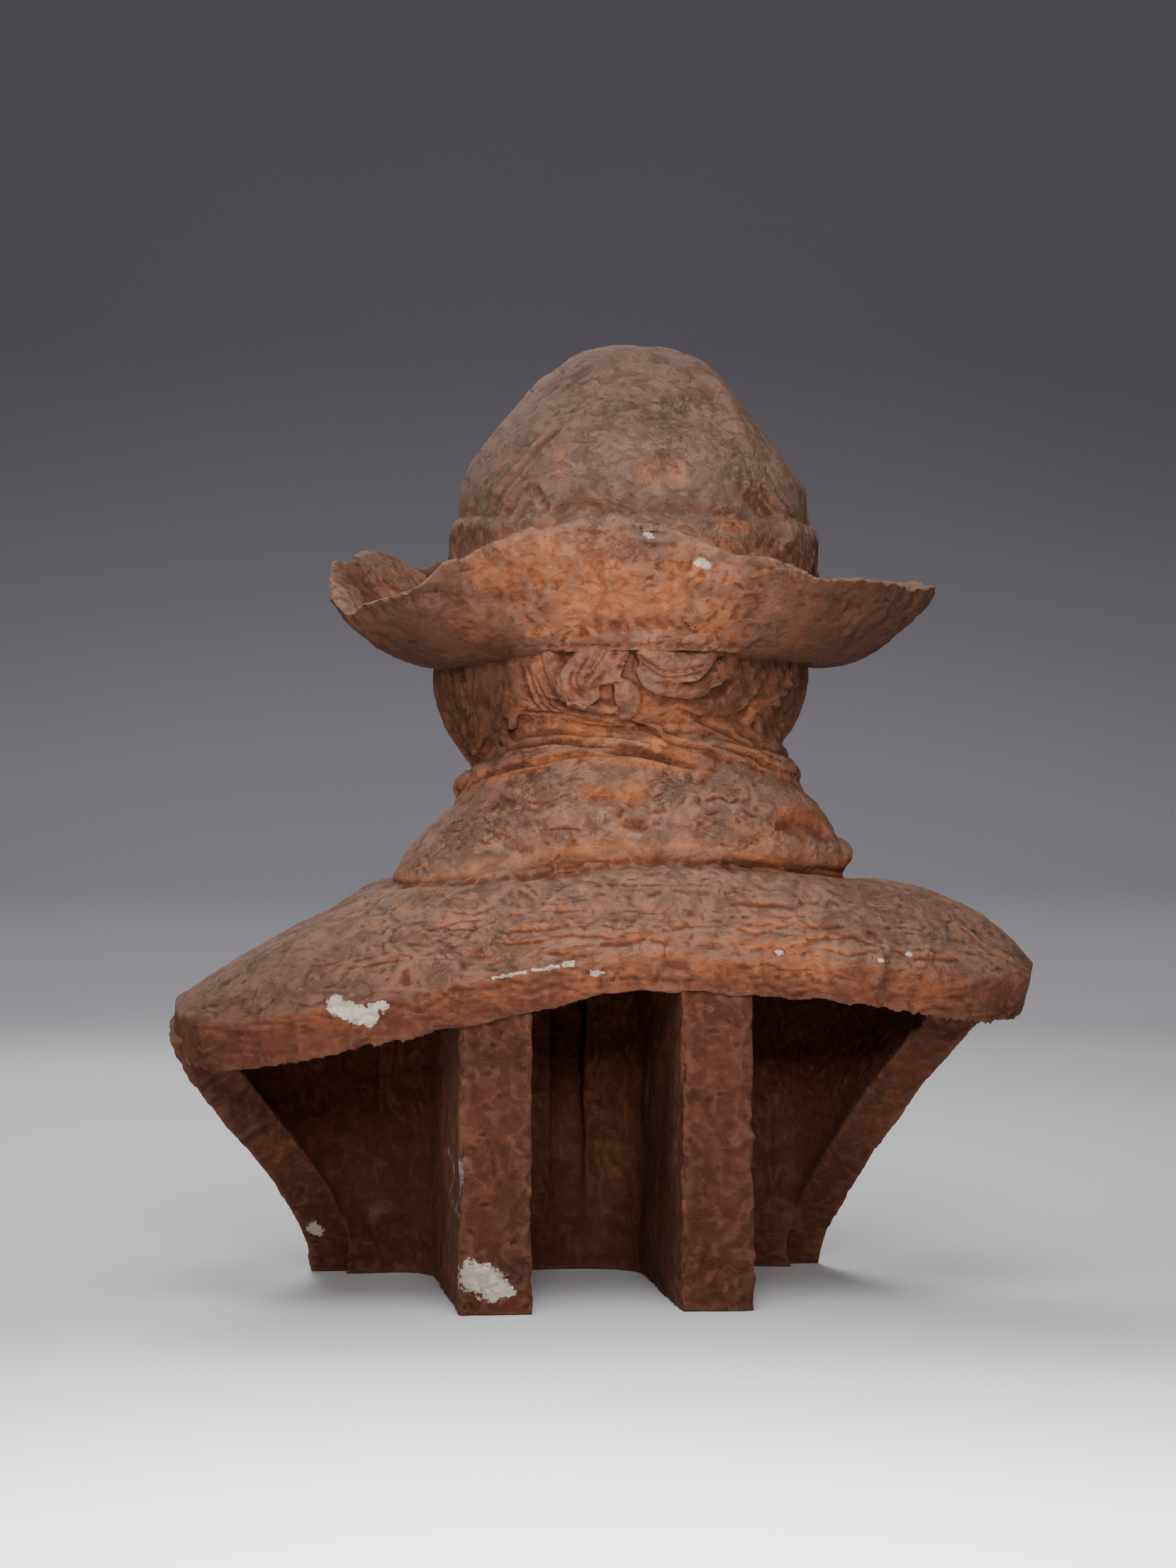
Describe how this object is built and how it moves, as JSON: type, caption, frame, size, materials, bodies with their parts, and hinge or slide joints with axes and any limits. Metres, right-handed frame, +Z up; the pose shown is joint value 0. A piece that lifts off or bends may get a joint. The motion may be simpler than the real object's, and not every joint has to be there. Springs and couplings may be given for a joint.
{
  "type": "bust",
  "caption": "Life-size terracotta bust of a sitter in a soft brimmed hat and coat, cut away at the back below the shoulders and carried there on upright clay struts.",
  "frame": {"origin": "on the floor, under the middle of the bust's bounding box", "axes": "+Z up, the sitter looks along -Y, the open back with its two struts faces +Y, the sitter's left is +X"},
  "size_m": [0.5396, 0.333, 0.5919],
  "materials": {
    "terracotta": "unglazed fired clay with grey-brown dust on its upper faces"
  },
  "bodies": {
    "root": {"bust": "terracotta"}
  },
  "joints": []
}
